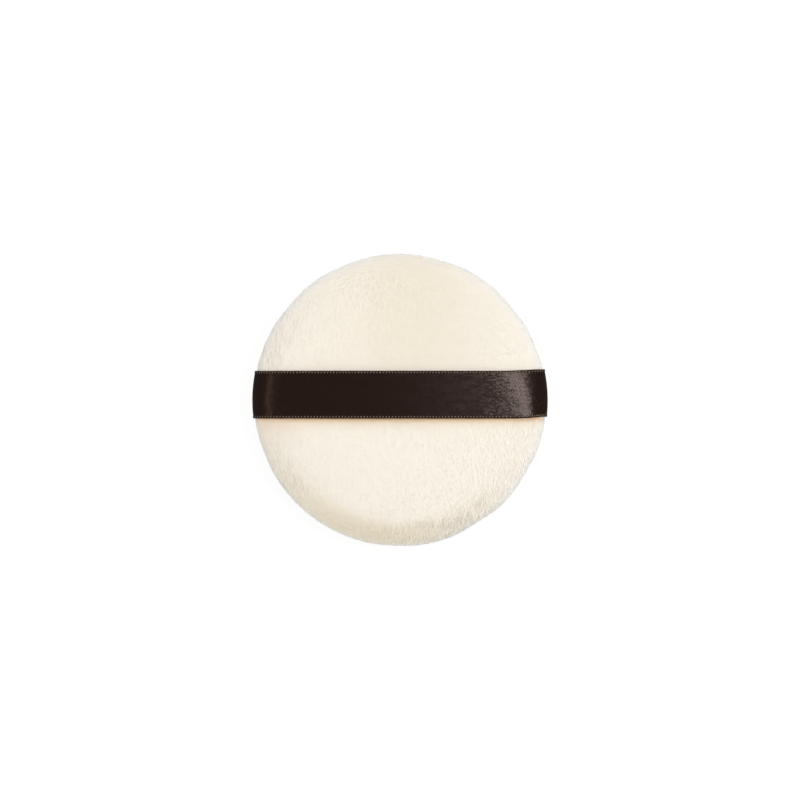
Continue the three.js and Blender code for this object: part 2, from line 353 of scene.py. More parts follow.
def mark_nap(mesh, side):
    """Where painted shadow and shade darken the nap, where it is turned in streaks, and where a
    painted sheen pales its rim.
    """
    place, normal = place_and_normal(mesh)
    # Painted shade in the seam's crease, and painted shadow along the ribbon's edges and below its
    # left end
    crease = crease_shade_share * np.exp(-((place[:, 2] - seam_z) / crease_reach) ** 2)
    across = place[:, 1] - ribbon_offset
    off = np.abs(across) - ribbon_width / 2
    beside = np.exp(-np.abs(off) / painted_shadow_reach) * np.where(across > 0, upper_shadow_share, 1)
    left_end_shadow = left_shadow_share * eased(-place[:, 0], *left_shadow_starts) * (across < 0)
    beside = np.maximum(beside, left_end_shadow * np.exp(-((off / left_shadow_reach) ** 2)))
    beside *= (side * normal[:, 2]).clip(0, 1) * (side > 0)
    # Painted shade, over the upper middle and down the lower rim
    upper_shade = np.exp(-(((place[:, 0] - upper_shade_middle) / upper_shade_reach) ** 2))
    upper_shade *= upper_shade_share * (across > 0) * (1 - np.exp(-off.clip(0) / upper_shade_guard))
    angle = np.arctan2(place[:, 1], place[:, 0]) % (2 * math.pi)
    out = np.hypot(place[:, 0], place[:, 1]) / cover_radius
    low_rim = np.exp(-(((angle - low_rim_way) / low_rim_reach) ** 2))
    low_rim *= eased(out, *low_rim_starts) * (1 - eased(out, *low_rim_ends))
    streaked = 0
    for way, reach, share in nap_streaks:
        streaked += share * np.exp(-(((np.degrees(angle) - way) / reach) ** 2))
    streaked *= eased(out, streaks_start, streaks_end)
    # Painted sheen at the rim, less round the lower left; the tips mark carries it
    dim_side = np.exp(-(((angle - dim_side_way) / dim_side_reach) ** 2))
    keep(mesh, "tips", eased(out, sheen_start, sheen_end) * (1 - dim_side))
    keep(mesh, "painted_shadow", np.maximum(crease, beside))
    keep(mesh, "painted_shade", low_rim_shade_share * low_rim + upper_shade)
    keep(mesh, "streaked", streaked)


def nap_streak(tree):
    """Fine strokes along the way the nap is brushed."""
    place = add(tree, "ShaderNodeTexCoord", output="Object")
    brushed = add(
        tree, "ShaderNodeMapping",
        {"Vector": place, "Scale": (1 / nap_across, 1 / nap_along, 1 / nap_along)},
    )
    return add(tree, "ShaderNodeTexNoise", {"Vector": brushed, "Scale": 1.0, "Detail": 1.5})


def nap_colour(tree):
    """The cream of the nap, with a painted sheen paler and greyer round the rim, painted shade duller
    down the lower rim and over the upper middle, greyer in the strokes where the nap is turned, and
    painted shadow warmer beside the ribbon and in the seam's crease."""
    marks = {
        title: add(tree, "ShaderNodeAttribute", output="Fac", attribute_name=title)
        for title in ("tips", "painted_shade", "streaked", "painted_shadow")
    }
    stroke = add(
        tree, "ShaderNodeMapRange",
        {"Value": nap_streak(tree), "From Min": noise_low, "From Max": noise_high,
         "To Max": turned_share},
    )
    place = add(tree, "ShaderNodeTexCoord", output="Object")
    patch = add(
        tree, "ShaderNodeTexNoise", {"Vector": place, "Scale": 1 / streak_patch, "Detail": 1.0}
    )
    patch = add(
        tree, "ShaderNodeMapRange",
        {"Value": patch, "From Min": noise_low, "From Max": noise_high, "To Min": least_streaked},
    )
    turned_here = add(tree, "ShaderNodeMath", [stroke, marks["streaked"]], operation="MULTIPLY")
    turned_here = add(tree, "ShaderNodeMath", [turned_here, patch], operation="MULTIPLY")
    face = linear(velour_cream)
    # Painted sheen, painted shade, turned strokes and painted shadow, in that order over the cream
    for share, colour in (
        (marks["tips"], velour_painted_sheen), (marks["painted_shade"], velour_painted_shade),
        (turned_here, velour_turned), (marks["painted_shadow"], velour_painted_shadow),
    ):
        face = add(
            tree, "ShaderNodeMix", {"Factor": share, "A": face, "B": linear(colour)},
            data_type="RGBA",
        )
    return face


def nap_shader(name):
    """Cotton nap: very matt and cream, with a pale bloom where it is seen aslant."""
    material, tree, main = shader(name)
    feed(main, {
        "Base Color": nap_colour(tree), "Roughness": 0.95, "Sheen Weight": 0.9,
        "Sheen Roughness": 0.35,
    })
    return material, tree, main


def velour_material():
    """Cotton velour: the dense, brushed face of the pile, roughened where the nap is streaked."""
    material, tree, main = nap_shader("Cotton velour")
    streaked = add(tree, "ShaderNodeAttribute", output="Fac", attribute_name="streaked")
    bump = add(
        tree, "ShaderNodeBump",
        {"Height": nap_streak(tree), "Strength": streaked, "Distance": nap_depth},
    )
    feed(main, {"Normal": bump})
    return material


velour = velour_material()
cover_line, outer_points = cover_outline()
covers = {}
for name, node_name, side, warp in (
    ("front_velour", "front_cover", -1, on_table), ("back_velour", "back_cover", 1, drawn_in),
):
    mesh = turned(cover_line * [1, side], cover_turns, warp)
    covers[side] = add_piece(name, mesh, velour, "puff")
    mark_nap(mesh, side)
    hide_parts(node_name)


# Pile of the covers
# Cut cotton pile, brushed one way across each cover. Its dense face is the surface of the
# covers, and these locks are the longer fibres that lie over it and give it a soft outline.
# Single fibres are too fine to show, so each lock stands for several.
lock_length = 0.55 * mm
lock_width = 0.07 * mm
lock_thickness = 0.02 * mm
lock_height = 0.18 * mm  # how far the tips stand over the face of the pile, at the rim
brushed_share = 0.15  # of that over the middle, where the nap is brushed flat
loose_power = 4  # how late, from the middle to the rim, it comes loose
sway_most = 0.15  # how far one lock strays from its neighbours, beside its length
shortest_share, longest_share = 0.6, 1.1  # of the lock length
locks_per_mm2 = 8
pressed_height = 0.12 * mm  # under the ribbon
clump_across = 0.6 * mm
clump_along = 2.4 * mm
swirl_turn = 0.25  # how far, in radians, the nap strays from one straight way
swirl_across = 9 * mm
swirl_along = 12 * mm
fibres_seed = 3
cell_edge = 0.05  # shares of one lock's cell in the map: the bare edge round it,
foot_to, sides_from = 0.25, 0.3  # how far up the foot reaches, and where the sides start


def comb(cover, side):
    """Which way each lock on a cover lies, how freely it stands and where locks grow."""
    mesh = cover.data
    place, normal = place_and_normal(mesh)
    angle = np.arctan2(place[:, 1], place[:, 0])
    swirl = swirl_turn * np.sin(place[:, 0] / swirl_across) * np.cos(place[:, 1] / swirl_along)
    way = swirl - math.pi / 2 - angle
    around = np.column_stack([-np.sin(angle), np.cos(angle), angle * 0])
    down = side * np.cross(around, normal)
    lie = np.cos(way)[:, None] * down + np.sin(way)[:, None] * around
    out = np.hypot(place[:, 0], place[:, 1]) / cover_radius
    height = lock_height * (brushed_share + (1 - brushed_share) * out**loose_power)
    if side > 0:
        pressed = np.abs(place[:, 1] - ribbon_offset) < ribbon_width / 2
        height[pressed] = np.minimum(height[pressed], pressed_height)
    else:
        height = np.minimum(height, (place[:, 2] - table_clear).clip(table_clear))
    stand = height / lock_length
    # The outer face's rings come first, and its pole is the last corner but one
    grow = np.zeros(len(place))
    grow[: (outer_points - 1) * cover_turns] = 1
    grow[-2] = 1
    keep(mesh, "lay", lie * np.sqrt(1 - stand**2)[:, None] + normal * stand[:, None])
    keep(mesh, "free", height / lock_height)
    keep(mesh, "grow", grow)


def geometry_tree(name, numbers, whole_numbers=()):
    """An empty tree with named inputs, and those inputs as sockets."""
    tree = bpy.data.node_groups.new(name, "GeometryNodeTree")
    face = tree.interface
    face.new_socket("Geometry", in_out="INPUT", socket_type="NodeSocketGeometry")
    for title in numbers:
        face.new_socket(title, in_out="INPUT", socket_type="NodeSocketFloat")
    for title in whole_numbers:
        face.new_socket(title, in_out="INPUT", socket_type="NodeSocketInt")
    face.new_socket("Geometry", in_out="OUTPUT", socket_type="NodeSocketGeometry")
    return tree, add(tree, "NodeGroupInput").node.outputs


def planted(tree, points, shape, title, turn, scale):
    """A shape on every point, which keeps the height of each of its own corners under a title."""
    place = add(tree, "GeometryNodeInputPosition")
    up = add(tree, "ShaderNodeSeparateXYZ", {"Vector": place}, "Z")
    shape = add(
        tree, "GeometryNodeStoreNamedAttribute", {"Geometry": shape, "Name": title, "Value": up},
        data_type="FLOAT", domain="POINT",
    )
    return add(
        tree, "GeometryNodeInstanceOnPoints",
        {"Points": points, "Instance": shape, "Rotation": turn, "Scale": scale},
    )


def end_tree(tree, geometry, material):
    """Real geometry in one material, as the tree's result."""
    real = add(tree, "GeometryNodeRealizeInstances", {"Geometry": geometry})
    done = add(tree, "GeometryNodeSetMaterial", {"Geometry": real, "Material": material})
    add(tree, "NodeGroupOutput", {"Geometry": done})


def made_by(tree, source, values):
    """The plain mesh that a tree makes from a source mesh."""
    carrier = bpy.data.objects.new("carrier", source)
    bpy.context.scene.collection.objects.link(carrier)
    modifier = carrier.modifiers.new(tree.name, "NODES")
    modifier.node_group = tree
    for item in tree.interface.items_tree:
        if item.item_type == "SOCKET" and item.in_out == "INPUT" and item.name in values:
            modifier[item.identifier] = values[item.name]
    graph = bpy.context.evaluated_depsgraph_get()
    mesh = bpy.data.meshes.new_from_object(
        carrier.evaluated_get(graph), preserve_all_data_layers=True, depsgraph=graph
    )
    bpy.data.objects.remove(carrier)
    return mesh


def pile_tree(material):
    """Locks scattered over a combed cover, each a thin closed spike."""
    tree, given = geometry_tree(
        "Pile",
        ("Locks per square metre", "Lock length", "Lock width", "Lock thickness", "Across", "Along"),
        ["Seed"],
    )
    kept = {
        title: add(
            tree, "GeometryNodeInputNamedAttribute", {"Name": title}, "Attribute", data_type=kind
        )
        for title, kind in (
            ("grow", "FLOAT"), ("free", "FLOAT"), ("lay", "FLOAT_VECTOR"),
            ("root_normal", "FLOAT_VECTOR"),
        )
    }
    density = add(
        tree, "ShaderNodeMath", [kept["grow"], given["Locks per square metre"]],
        operation="MULTIPLY",
    )
    scatter = add(
        tree, "GeometryNodeDistributePointsOnFaces",
        {"Mesh": given["Geometry"], "Density": density, "Seed": given["Seed"]},
    ).node.outputs
    points = add(
        tree, "GeometryNodeStoreNamedAttribute",
        {"Geometry": scatter["Points"], "Name": "root_normal", "Value": scatter["Normal"]},
        data_type="FLOAT_VECTOR", domain="POINT",
    )
    # Clumps are long along the nap and narrow across it
    place = add(tree, "GeometryNodeInputPosition")
    size = add(
        tree, "ShaderNodeCombineXYZ",
        {"X": given["Across"], "Y": given["Along"], "Z": given["Along"]},
    )
    clump = add(tree, "ShaderNodeVectorMath", [place, size], operation="DIVIDE")
    clump = add(
        tree, "ShaderNodeTexNoise", {"Vector": clump, "Scale": 1.0, "Detail": 1.0}, "Color"
    )
    clump = add(tree, "ShaderNodeVectorMath", [clump, (0.5, 0.5, 0.5)], operation="SUBTRACT")
    sway = add(
        tree, "FunctionNodeRandomValue",
        {"Min": [-sway_most] * 3, "Max": [sway_most] * 3, "Seed": given["Seed"]},
        data_type="FLOAT_VECTOR",
    )
    astray = add(tree, "ShaderNodeVectorMath", [clump, sway], operation="ADD")
    freely = add(
        tree, "ShaderNodeVectorMath", {"Vector": astray, "Scale": kept["free"]}, operation="SCALE"
    )
    lay = add(tree, "ShaderNodeVectorMath", [kept["lay"], freely], operation="ADD")
    turn = add(tree, "FunctionNodeAlignRotationToVector", {"Vector": lay}, axis="Z")
    turn = add(
        tree, "FunctionNodeAlignRotationToVector",
        {"Rotation": turn, "Vector": kept["root_normal"]}, axis="X", pivot_axis="Z",
    )
    length = add(
        tree, "FunctionNodeRandomValue",
        {"Min": shortest_share, "Max": longest_share, "Seed": given["Seed"]}, data_type="FLOAT",
    )
    length = add(tree, "ShaderNodeMath", [length, given["Lock length"]], operation="MULTIPLY")
    scale = add(
        tree, "ShaderNodeCombineXYZ",
        {"X": given["Lock thickness"], "Y": given["Lock width"], "Z": length},
    )
    spike = add(
        tree, "GeometryNodeMeshCone",
        {"Vertices": 3, "Radius Top": 0.0, "Radius Bottom": 0.5, "Depth": 1.0}, fill_type="NGON",
    )
    real = add(
        tree, "GeometryNodeRealizeInstances",
        {"Geometry": planted(tree, points, spike, "along_lock", turn, scale)},
    )
    # No tip reaches through the table
    tips = add(tree, "ShaderNodeSeparateXYZ", {"Vector": place}).node.outputs
    height = add(tree, "ShaderNodeMath", [tips["Z"], table_clear], operation="MAXIMUM")
    held = add(tree, "ShaderNodeCombineXYZ", {"X": tips["X"], "Y": tips["Y"], "Z": height})
    real = add(tree, "GeometryNodeSetPosition", {"Geometry": real, "Position": held})
    end_tree(tree, real, material)
    return tree


def lay_out_locks(mesh):
    """A UV map with a cell of its own for each lock: three sides over one foot."""
    up = np.empty(len(mesh.vertices), np.float32)
    mesh.attributes["along_lock"].data.foreach_get("value", up)
    corner = np.empty(len(mesh.loops), int)
    mesh.loops.foreach_get("vertex_index", corner)
    # Each lock has four faces of three corners
    tip = (up[corner] > 0.5).reshape(-1, 4, 3)
    slot = np.cumsum(tip.any(axis=2), axis=1) - 1
    order = np.cumsum(~tip, axis=2) - 1
    foot = ~tip.any(axis=2)
    u = np.where(tip, (slot[:, :, None] + 0.5) / 3, (slot[:, :, None] + order) / 3)
    v = np.where(tip, 1, sides_from)
    u[foot], v[foot] = [0, 1, 0.5], [0, 0, foot_to]
    count = len(u)
    cells = math.ceil(math.sqrt(count))
    cell = np.arange(count)
    u = ((cell % cells)[:, None, None] + cell_edge + (1 - 2 * cell_edge) * u) / cells
    v = ((cell // cells)[:, None, None] + cell_edge + (1 - 2 * cell_edge) * v) / cells
    places = np.stack([u, v], axis=-1).astype(np.float32)
    mesh.uv_layers.new(name="OFBake").uv.foreach_set("vector", places.ravel())


def pile_material():
    """Cotton velour pile: loose fibre ends, as matt and cream as the face that they lie on."""
    material, tree, main = nap_shader("Cotton velour pile")
    # The many fibres of a lock shade as the cloth under them does
    root = add(tree, "ShaderNodeAttribute", output="Vector", attribute_name="root_normal")
    root = add(
        tree, "ShaderNodeVectorTransform", {"Vector": root},
        vector_type="NORMAL", convert_from="OBJECT", convert_to="WORLD",
    )
    feed(main, {"Normal": root})
    return material


pile = pile_material()
locks = pile_tree(pile)
for name, side in (("front_pile", -1), ("back_pile", 1)):
    comb(covers[side], side)
    mesh = made_by(
        locks, covers[side].data,
        {"Locks per square metre": locks_per_mm2 / mm**2, "Lock length": lock_length,
         "Lock width": lock_width, "Lock thickness": lock_thickness,
         "Across": clump_across, "Along": clump_along, "Seed": fibres_seed + side},
    )
    lay_out_locks(mesh)
    add_piece(name, mesh, pile, "puff")


# Satin ribbon
# Double-face polyester satin ribbon, woven 12.7 mm wide and dyed dark brown. It arches over
# the back of the puff, and its two ends turn under and are sewn into the side seam.
ribbon_solid = 0.38 * mm
ribbon_thickness = 0.26 * mm
ribbon_lift = 0.6 * mm
ribbon_bend = 0.9 * mm
bend_steps = 23
ribbon_tuck = 6.3 * mm
ribbon_sweep = 0.45 * mm  # how far the right-hand end runs off to one side
sweep_start_share = 0.72
ribbon_step = 0.4 * mm
ribbon_columns = 28
woven_width = 12.7 * mm  # without the loops of the selvedges
float_width = 0.35  # of the satin weave, drawn coarser than real yarn, in the map's millimetres
float_length = 0.9
float_shift = 0.4  # each float lies two fifths of a float further on than its neighbour
float_tilt = 1.35  # how widely the rise from one end of a float to the other varies
float_dip, float_dip_power = 0.25, 6  # how deep its ends dip, and how close to the end
weave_depth = 0.1 * mm
slack_size = 0.8  # patches of slacker yarn, in the map's millimetres
slack_share = 0.5  # their height beside that of a float
satin_brown = "#1d110b"
satin_sheen = "#ffe9e2"
skew = 2.7 * mm  # how much further out the lower edge bends down at the shoulder than the upper
skew_still_share = 0.2  # how far off the middle the line is that bends down in its place
skew_middle, skew_reach = 33 * mm, 4 * mm
ribbon_radius = cover_radius + seat + ribbon_solid / 2


def ribbon_line():
    """Centreline of the ribbon: [x, height over the seam plane, how far it runs off to one side]."""
    bend_x = ribbon_radius - ribbon_bend
    tuck = [[cover_radius - ribbon_tuck, 0], [bend_x, 0]]
    turn = np.linspace(0, math.pi / 2, bend_steps + 1)[1:]
    bend = np.column_stack([bend_x + ribbon_bend * np.sin(turn), ribbon_bend * (1 - np.cos(turn))])
    fold_top = seam_gap / 2 + fold_radius
    climb = crowned(ribbon_radius, fold_top, rise + seat + ribbon_solid / 2)[::-1]
    half = evenly(np.vstack([tuck, bend, climb]), ribbon_step)
    x = half[:, 0]
    half[:, 1] += ribbon_lift / 2 * (1 + np.cos(math.pi * x / ribbon_radius)) * (half[:, 1] > fold_top)
    sweep = ribbon_sweep * eased(x, sweep_start_share * ribbon_radius, ribbon_radius)
    sweep[: round(ribbon_tuck / ribbon_step)] = ribbon_sweep
    right = np.column_stack([half, sweep])
    left = np.column_stack([-half[:, 0], half[:, 1], np.zeros(len(half))])
    return np.vstack([right, left[::-1][1:]])


ribbon_centre = ribbon_line()
ribbon_way = np.gradient(ribbon_centre[:, :2], axis=0)
ribbon_way /= np.linalg.norm(ribbon_way, axis=1)[:, None]
ribbon_steps = np.linalg.norm(np.diff(ribbon_centre[:, :2], axis=0), axis=1)
ribbon_along = np.r_[0, np.cumsum(ribbon_steps)]
ribbon_length = float(ribbon_along[-1])


def on_ribbon(length, across, out=0):
    """A point of the ribbon: how far along it, off its middle line and out from its mid face."""
    x, height, sweep = (np.interp(length, ribbon_along, c) for c in ribbon_centre.T)
    wx, wz = (np.interp(length, ribbon_along, c) for c in ribbon_way.T)
    shift = skew * (skew_still_share - across / ribbon_width) * (-wx).clip(0)
    x = x + shift * np.exp(-(((x - skew_middle) / skew_reach) ** 2))
    y = across + sweep + ribbon_offset
    narrowing = np.sqrt(ribbon_radius**2 - y**2) / ribbon_radius
    return np.stack([(x + wz * out) * narrowing, y, seam_z + height - wx * out], axis=-1)


def ribbon_mesh():
    """One closed sheet along the centreline, its ends curved like the rim they fold over."""
    across = np.linspace(-0.5, 0.5, ribbon_columns + 1) * woven_width
    rows, columns = len(ribbon_along), len(across)
    length, off = np.meshgrid(ribbon_along, across, indexing="ij")
    faces_out = (ribbon_thickness / 2, -ribbon_thickness / 2)
    points = np.vstack([on_ribbon(length, off, out).reshape(-1, 3) for out in faces_out])
    marks = np.tile(np.stack([length, off], axis=-1).reshape(-1, 2), (2, 1))
    under = rows * columns
    faces = []
    for i in range(rows - 1):
        a = i * columns + np.arange(columns - 1)
        b = a + columns
        faces += np.column_stack([a, a + 1, b + 1, b]).tolist()
        faces += (np.column_stack([a, b, b + 1, a + 1]) + under).tolist()
        for j, turn in ((0, 1), (columns - 1, -1)):
            a, b = i * columns + j, (i + 1) * columns + j
            faces.append([a, b, b + under, a + under][::turn])
    for i, turn in ((0, 1), (rows - 1, -1)):
        for j in range(columns - 1):
            a = i * columns + j
            faces.append([a + 1, a, a + under, a + 1 + under][::turn])
    mesh = bpy.data.meshes.new("ribbon")
    mesh.from_pydata(points.tolist(), [], faces)
    corner = np.empty(len(mesh.loops), int)
    mesh.loops.foreach_get("vertex_index", corner)
    weave = mesh.uv_layers.new(name="weave")
    weave.uv.foreach_set("vector", (marks[corner] / mm).astype(np.float32).ravel())
    return mesh


def satin_shader(name):
    """Polyester filament yarn, dyed dark brown: smooth, with a soft and slightly warm gloss."""
    material, tree, main = shader(name)
    feed(main, {
        "Base Color": linear(satin_brown), "Roughness": 0.24, "Specular IOR Level": 0.5,
        "Specular Tint": linear(satin_sheen),
    })
    return material, tree, main


def satin_material():
    """Double-face polyester satin: long glossy floats along the ribbon, in staggered rows, which
    draw its shine out across the width."""
    material, tree, main = satin_shader("Double-face polyester satin")
    weave = add(tree, "ShaderNodeUVMap", uv_map="weave")
    u, v = list(add(tree, "ShaderNodeSeparateXYZ", {"Vector": weave}).node.outputs)[:2]
    rows = add(tree, "ShaderNodeMath", [v, float_width], operation="DIVIDE")
    row = add(tree, "ShaderNodeMath", [rows], operation="FLOOR")
    over = add(tree, "ShaderNodeMath", [rows, row], operation="SUBTRACT")
    over = add(tree, "ShaderNodeMath", [over, 0.5], operation="SUBTRACT")
    floats = add(tree, "ShaderNodeMath", [u, float_length], operation="DIVIDE")
    floats = add(tree, "ShaderNodeMath", [row, float_shift, floats], operation="MULTIPLY_ADD")
    off_middle = add(tree, "ShaderNodeMath", [floats], operation="FRACT")
    off_middle = add(tree, "ShaderNodeMath", [off_middle, 0.5], operation="SUBTRACT")
    round_over = add(tree, "ShaderNodeMath", [over, over], operation="MULTIPLY")
    to_end = add(tree, "ShaderNodeMath", [off_middle], operation="ABSOLUTE")
    to_end = add(tree, "ShaderNodeMath", [to_end, 2], operation="MULTIPLY")
    dipped = add(tree, "ShaderNodeMath", [to_end, float_dip_power], operation="POWER")
    dipped = add(tree, "ShaderNodeMath", [dipped, -float_dip], operation="MULTIPLY")
    height = add(tree, "ShaderNodeMath", [dipped, round_over], operation="SUBTRACT")
    # No two floats are drawn in alike, so each catches the light a little differently
    which = add(tree, "ShaderNodeMath", [floats], operation="FLOOR")
    which = add(tree, "ShaderNodeCombineXYZ", {"X": which, "Y": row})
    tilt = add(tree, "ShaderNodeTexWhiteNoise", {"Vector": which}, "Value")
    tilt = add(tree, "ShaderNodeMath", [tilt, 0.5], operation="SUBTRACT")
    tilt = add(tree, "ShaderNodeMath", [tilt, float_tilt], operation="MULTIPLY")
    height = add(tree, "ShaderNodeMath", [tilt, off_middle, height], operation="MULTIPLY_ADD")
    slack = add(
        tree, "ShaderNodeTexNoise", {"Vector": weave, "Scale": 1 / slack_size, "Detail": 2.0}
    )
    height = add(tree, "ShaderNodeMath", [slack, slack_share, height], operation="MULTIPLY_ADD")
    bump = add(
        tree, "ShaderNodeBump", {"Height": height, "Distance": weave_depth, "Strength": 0.5}
    )
    tangent = add(tree, "ShaderNodeTangent", direction_type="UV_MAP", uv_map="weave")
    feed(main, {
        "Normal": bump, "Tangent": tangent, "Anisotropic": 0.6, "Anisotropic Rotation": 0.25,
    })
    return material


ribbon = add_piece("ribbon", ribbon_mesh(), satin_material(), None)
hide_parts("ribbon_strap")


# Ribbon selvedges
# Along both edges the weft turns back round the outermost warp yarns, and each turn makes a
# small raised loop. The row of loops is what the scalloped edge of the ribbon is.
loop_pitch = 0.84 * mm
loop_along = 0.66 * mm
loop_across = 1.08 * mm
loop_thick = 0.44 * mm
loop_proud = 0.1 * mm
loop_reach = ribbon_width / 2 + loop_proud
loop_segments, loop_rings = 8, 6
glint_start, glint_end = 0.42, 0.46  # shares of a loop's thickness over its middle, where the painted highlight begins and is full
# Painted highlight on the crest of each loop
glint_brown = "#6f6354"


def loop_tree(material):
    """One small rounded loop at each corner of the source, lying across the ribbon."""
    tree, given = geometry_tree("Selvedge", ("Loop along", "Loop across", "Loop thickness"))
    along_edge, outwards = [
        add(
            tree, "GeometryNodeInputNamedAttribute", {"Name": title}, "Attribute",
            data_type="FLOAT_VECTOR",
        )
        for title in ("along_edge", "outwards")
    ]
    turn = add(tree, "FunctionNodeAlignRotationToVector", {"Vector": along_edge}, axis="X")
    turn = add(
        tree, "FunctionNodeAlignRotationToVector", {"Rotation": turn, "Vector": outwards},
        axis="Z", pivot_axis="X",
    )
    ball = add(
        tree, "GeometryNodeMeshUVSphere",
        {"Segments": loop_segments, "Rings": loop_rings, "Radius": 0.5},
    )
    size = add(
        tree, "ShaderNodeCombineXYZ",
        {"X": given["Loop along"], "Y": given["Loop across"], "Z": given["Loop thickness"]},
    )
    end_tree(tree, planted(tree, given["Geometry"], ball, "crest", turn, size), material)
    return tree


def selvedge_places():
    """Corners at the loop pitch along both edges, from bend to bend."""
    hidden = ribbon_tuck + ribbon_bend / 2
    places = np.arange(hidden, ribbon_length - hidden, loop_pitch)
    half = loop_along / 2
    points, ways, outs = [], [], []
    for side in (-1, 1):
        across = side * (loop_reach - loop_across / 2)
        points.append(on_ribbon(places, across))
        ways.append(on_ribbon(places + half, across) - on_ribbon(places - half, across))
        outs.append(on_ribbon(places, across, loop_thick) - on_ribbon(places, across, -loop_thick))
    mesh = bpy.data.meshes.new("loops")
    mesh.from_pydata(np.vstack(points).tolist(), [], [])
    keep(mesh, "along_edge", np.vstack(ways) / mm)
    keep(mesh, "outwards", np.vstack(outs) / mm)
    return mesh


def loop_material():
    """Dark polyester weft yarn, bent tight, with a painted highlight of paler brown on the crest of
    each loop.
    """
    material, tree, main = satin_shader("Polyester weft yarn")
    crest = add(tree, "ShaderNodeAttribute", output="Fac", attribute_name="crest")
    crest = add(
        tree, "ShaderNodeMapRange",
        {"Value": crest, "From Min": glint_start, "From Max": glint_end},
    )
    tone = add(
        tree, "ShaderNodeMix",
        {"Factor": crest, "A": linear(satin_brown), "B": linear(glint_brown)}, data_type="RGBA",
    )
    feed(main, {"Base Color": tone})
    return material


weft_yarn = loop_material()
mesh = made_by(
    loop_tree(weft_yarn), selvedge_places(),
    {"Loop along": loop_along, "Loop across": loop_across, "Loop thickness": loop_thick},
)
selvedges = add_piece("selvedges", mesh, weft_yarn, None)
for piece in (ribbon, selvedges):
    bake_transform(piece)


# Threads
# The seam is lockstitched inside the rim, over a needle thread and a bobbin thread. The gap
# that the foam went in through is closed by hand, and a second row of stitches holds each
# ribbon end. All are two-ply spun polyester.
stitch_inset = 3 * mm
thread_diameter = 0.25 * mm
thread_clearance = 0.2 * mm
link_spread = 0.3 * mm
link_depth = 0.35 * mm
leg_knee = 0.15 * mm
gap_middle = math.radians(40)
gap_length = 36 * mm
tack_inset = 5 * mm
tack_stitch = 2.1 * mm
tack_stitches = 4
ply_pitch = 0.6 * mm
thread_step = 0.1 * mm
ply_radius_share, ply_offset_share = 0.27, 0.23  # of the thread's diameter
ply_sides = 5
cream_yarn = "#ece2cb"
dark_yarn = "#2a1d16"
stitch_radius = cover_radius - stitch_inset
thread_lay = allowance_top + thread_clearance + thread_diameter / 2
stitch_turn = 2 * math.pi / stitch_places


def seam_point(angle, across, up):
    """A point round the seam, off the stitching line by across and over the seam plane by up."""
    radius = stitch_radius + across
    return [radius * math.cos(angle), radius * math.sin(angle), seam_z + up]


def lockstitch(angles, side):
    """One thread of the lockstitch: side 1 lies on the back allowance, -1 on the front one."""
    lay, knee, link = side * thread_lay, side * leg_knee, -side * link_depth
    spread, turn = side * link_spread, link_spread / stitch_radius
    points = []
    for angle in angles:
        points += [
            seam_point(angle - stitch_turn / 2, 0, lay), seam_point(angle - turn, spread, lay),
            seam_point(angle - turn, spread, knee), seam_point(angle, 0, link),
            seam_point(angle + turn, -spread, knee), seam_point(angle + turn, -spread, lay),
        ]
    return points + [seam_point(angles[-1] + stitch_turn / 2, 0, lay)]


def running(places, ways):
    """One thread in and out of a row of holes, each given by its place and the way the row runs."""
    ease = thread_diameter
    # The way through one hole: how far along the row, and how high over the seam plane
    through = [
        (-ease, thread_lay), (0, thread_lay - ease), (0, ease - thread_lay), (ease, -thread_lay),
    ]
    points = []
    for i, (place, row) in enumerate(zip(places, ways)):
        side = -1 if i % 2 else 1
        for off, up in through:
            points.append([place[0] + off * row[0], place[1] + off * row[1], seam_z + side * up])
    return points


def thread_tree(material):
    """Two plies twisted round the path of the source's edges."""
    tree, given = geometry_tree("Two-ply thread", ("Diameter", "Pitch", "Step"))
    path = add(tree, "GeometryNodeMeshToCurve", {"Mesh": given["Geometry"]})
    path = add(tree, "GeometryNodeCurveSplineType", {"Curve": path}, spline_type="CATMULL_ROM")
    path = add(
        tree, "GeometryNodeResampleCurve", {"Curve": path, "Length": given["Step"]}, mode="LENGTH"
    )
    length = add(tree, "GeometryNodeSplineParameter", output="Length")
    normal = add(tree, "GeometryNodeInputNormal", output="Normal")
    tangent = add(tree, "GeometryNodeInputTangent")
    beside = add(tree, "ShaderNodeVectorMath", [tangent, normal], operation="CROSS_PRODUCT")
    twist = add(tree, "ShaderNodeMath", [length, given["Pitch"]], operation="DIVIDE")
    twist = add(tree, "ShaderNodeMath", [twist, 2 * math.pi], operation="MULTIPLY")
    thick = add(
        tree, "ShaderNodeMath", [given["Diameter"], ply_radius_share], operation="MULTIPLY"
    )
    ply = add(
        tree, "GeometryNodeCurvePrimitiveCircle", {"Resolution": ply_sides, "Radius": thick}
    )
    both = add(tree, "GeometryNodeJoinGeometry")
    for side in (1, -1):
        reach = add(
            tree, "ShaderNodeMath", [given["Diameter"], side * ply_offset_share],
            operation="MULTIPLY",
        )
        parts = []
        for way, wave in ((normal, "COSINE"), (beside, "SINE")):
            part = add(tree, "ShaderNodeMath", [twist], operation=wave)
            part = add(tree, "ShaderNodeMath", [reach, part], operation="MULTIPLY")
            parts.append(
                add(tree, "ShaderNodeVectorMath", {"Vector": way, "Scale": part}, operation="SCALE")
            )
        off = add(tree, "ShaderNodeVectorMath", parts, operation="ADD")
        strand = add(tree, "GeometryNodeSetPosition", {"Geometry": path, "Offset": off})
        strand = add(
            tree, "GeometryNodeCurveToMesh",
            {"Curve": strand, "Profile Curve": ply, "Fill Caps": True},
        )
        feed(both.node, {"Geometry": strand})
    end_tree(tree, both, material)
    return tree


def thread_material(name, colour):
    """Spun polyester thread: matt, slightly hairy yarn that takes a soft bloom."""
    material, _, main = shader(name)
    feed(main, {"Base Color": linear(colour), "Roughness": 0.75, "Sheen Weight": 0.3})
    return material


